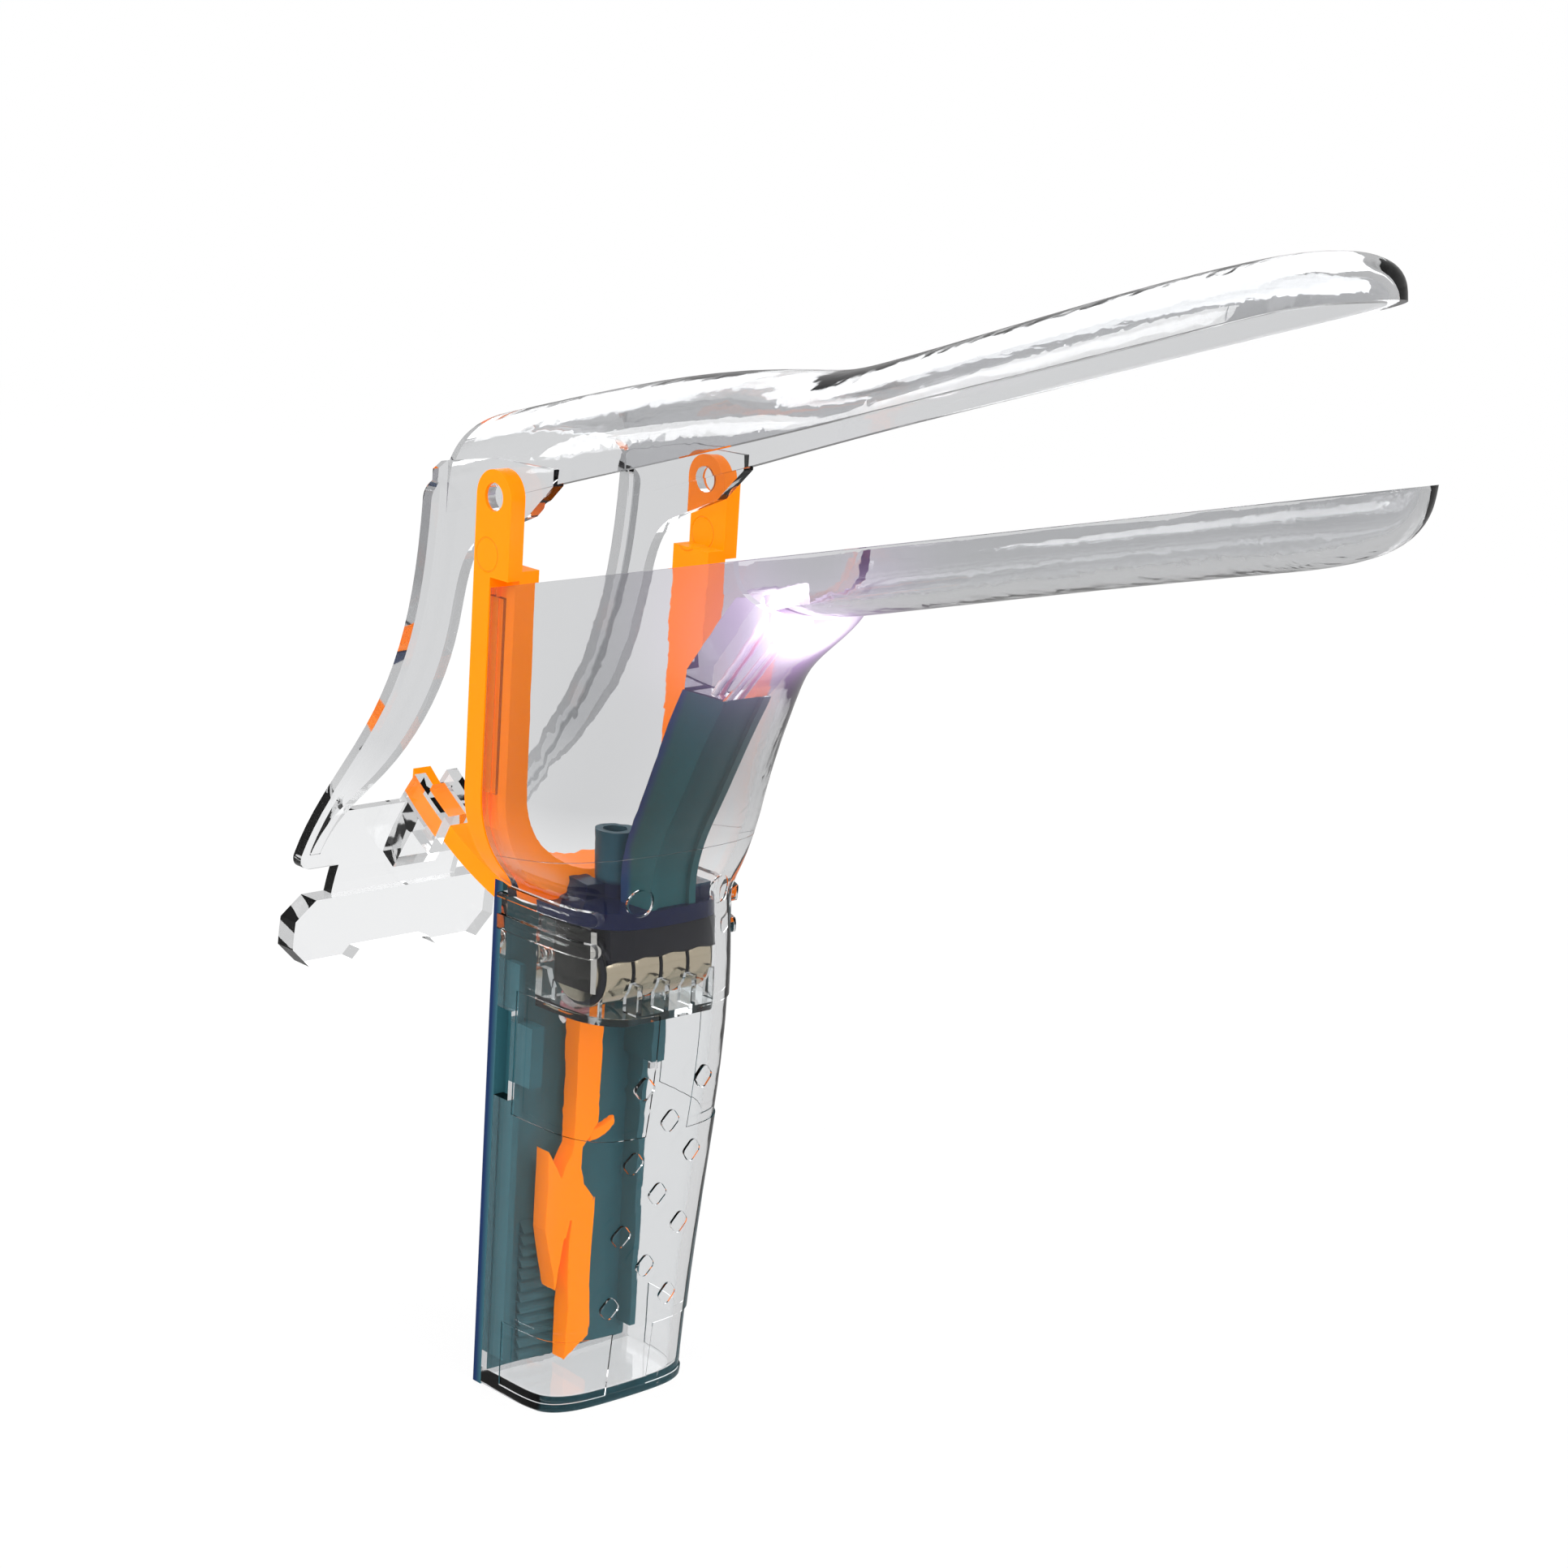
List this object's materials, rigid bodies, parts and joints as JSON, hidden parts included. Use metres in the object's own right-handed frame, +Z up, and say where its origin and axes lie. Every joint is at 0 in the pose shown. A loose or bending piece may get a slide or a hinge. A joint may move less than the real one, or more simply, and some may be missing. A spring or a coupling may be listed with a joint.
{
  "type": "bivalve speculum",
  "caption": "Clear two-blade speculum on a hollow lit handle, with an orange sliding yoke, a hinged upper blade with a thumb lever, and a lamp run from button cells",
  "frame": {"origin": "centre of the handle's foot plane, straight under the blade pivot axis", "axes": "+Z up the handle, +X forwards along the blades, +Y across the blades along the pivot axis"},
  "size_m": [0.2054, 0.046, 0.1995],
  "materials": {
    "clear_plastic": "clear polished",
    "orange_plastic": "glossy moulded",
    "navy_plastic": "glossy moulded",
    "black_plastic": "satin",
    "cell_steel": "satin",
    "contact_metal": "bright",
    "lamp_lens": "clear epoxy",
    "guide_plastic": "clear polished",
    "near_lead": "smooth insulation",
    "far_lead": "smooth insulation"
  },
  "bodies": {
    "handle": {"clear_body": "clear_plastic", "rear_cover": "navy_plastic", "lamp_deck": "navy_plastic", "lamp_duct": "navy_plastic", "cell_rack": "guide_plastic", "cell_cover": "black_plastic", "button_cell_1": "cell_steel", "button_cell_2": "cell_steel", "button_cell_3": "cell_steel", "button_cell_4": "cell_steel", "near_contact": "contact_metal", "far_contact": "contact_metal", "cell_spring": "contact_metal", "coil_spring": "contact_metal", "tail_lead": "near_lead", "lamp": "lamp_lens", "light_guide": "guide_plastic", "near_lead": "near_lead", "far_lead": "far_lead"},
    "yoke": {"yoke": "orange_plastic"},
    "upper_blade": {"upper_blade": "clear_plastic"}
  },
  "joints": [
    {"name": "yoke_slide", "type": "slide", "parent": "handle", "child": "yoke", "axis": [0, 0, 1], "range_m": [0, 0.02]},
    {"name": "blade_pivot", "type": "hinge", "parent": "yoke", "child": "upper_blade", "pos_m": [0, 0, 0.147], "axis": [0, -1, 0], "range_deg": [-8.5, 20]}
  ]
}
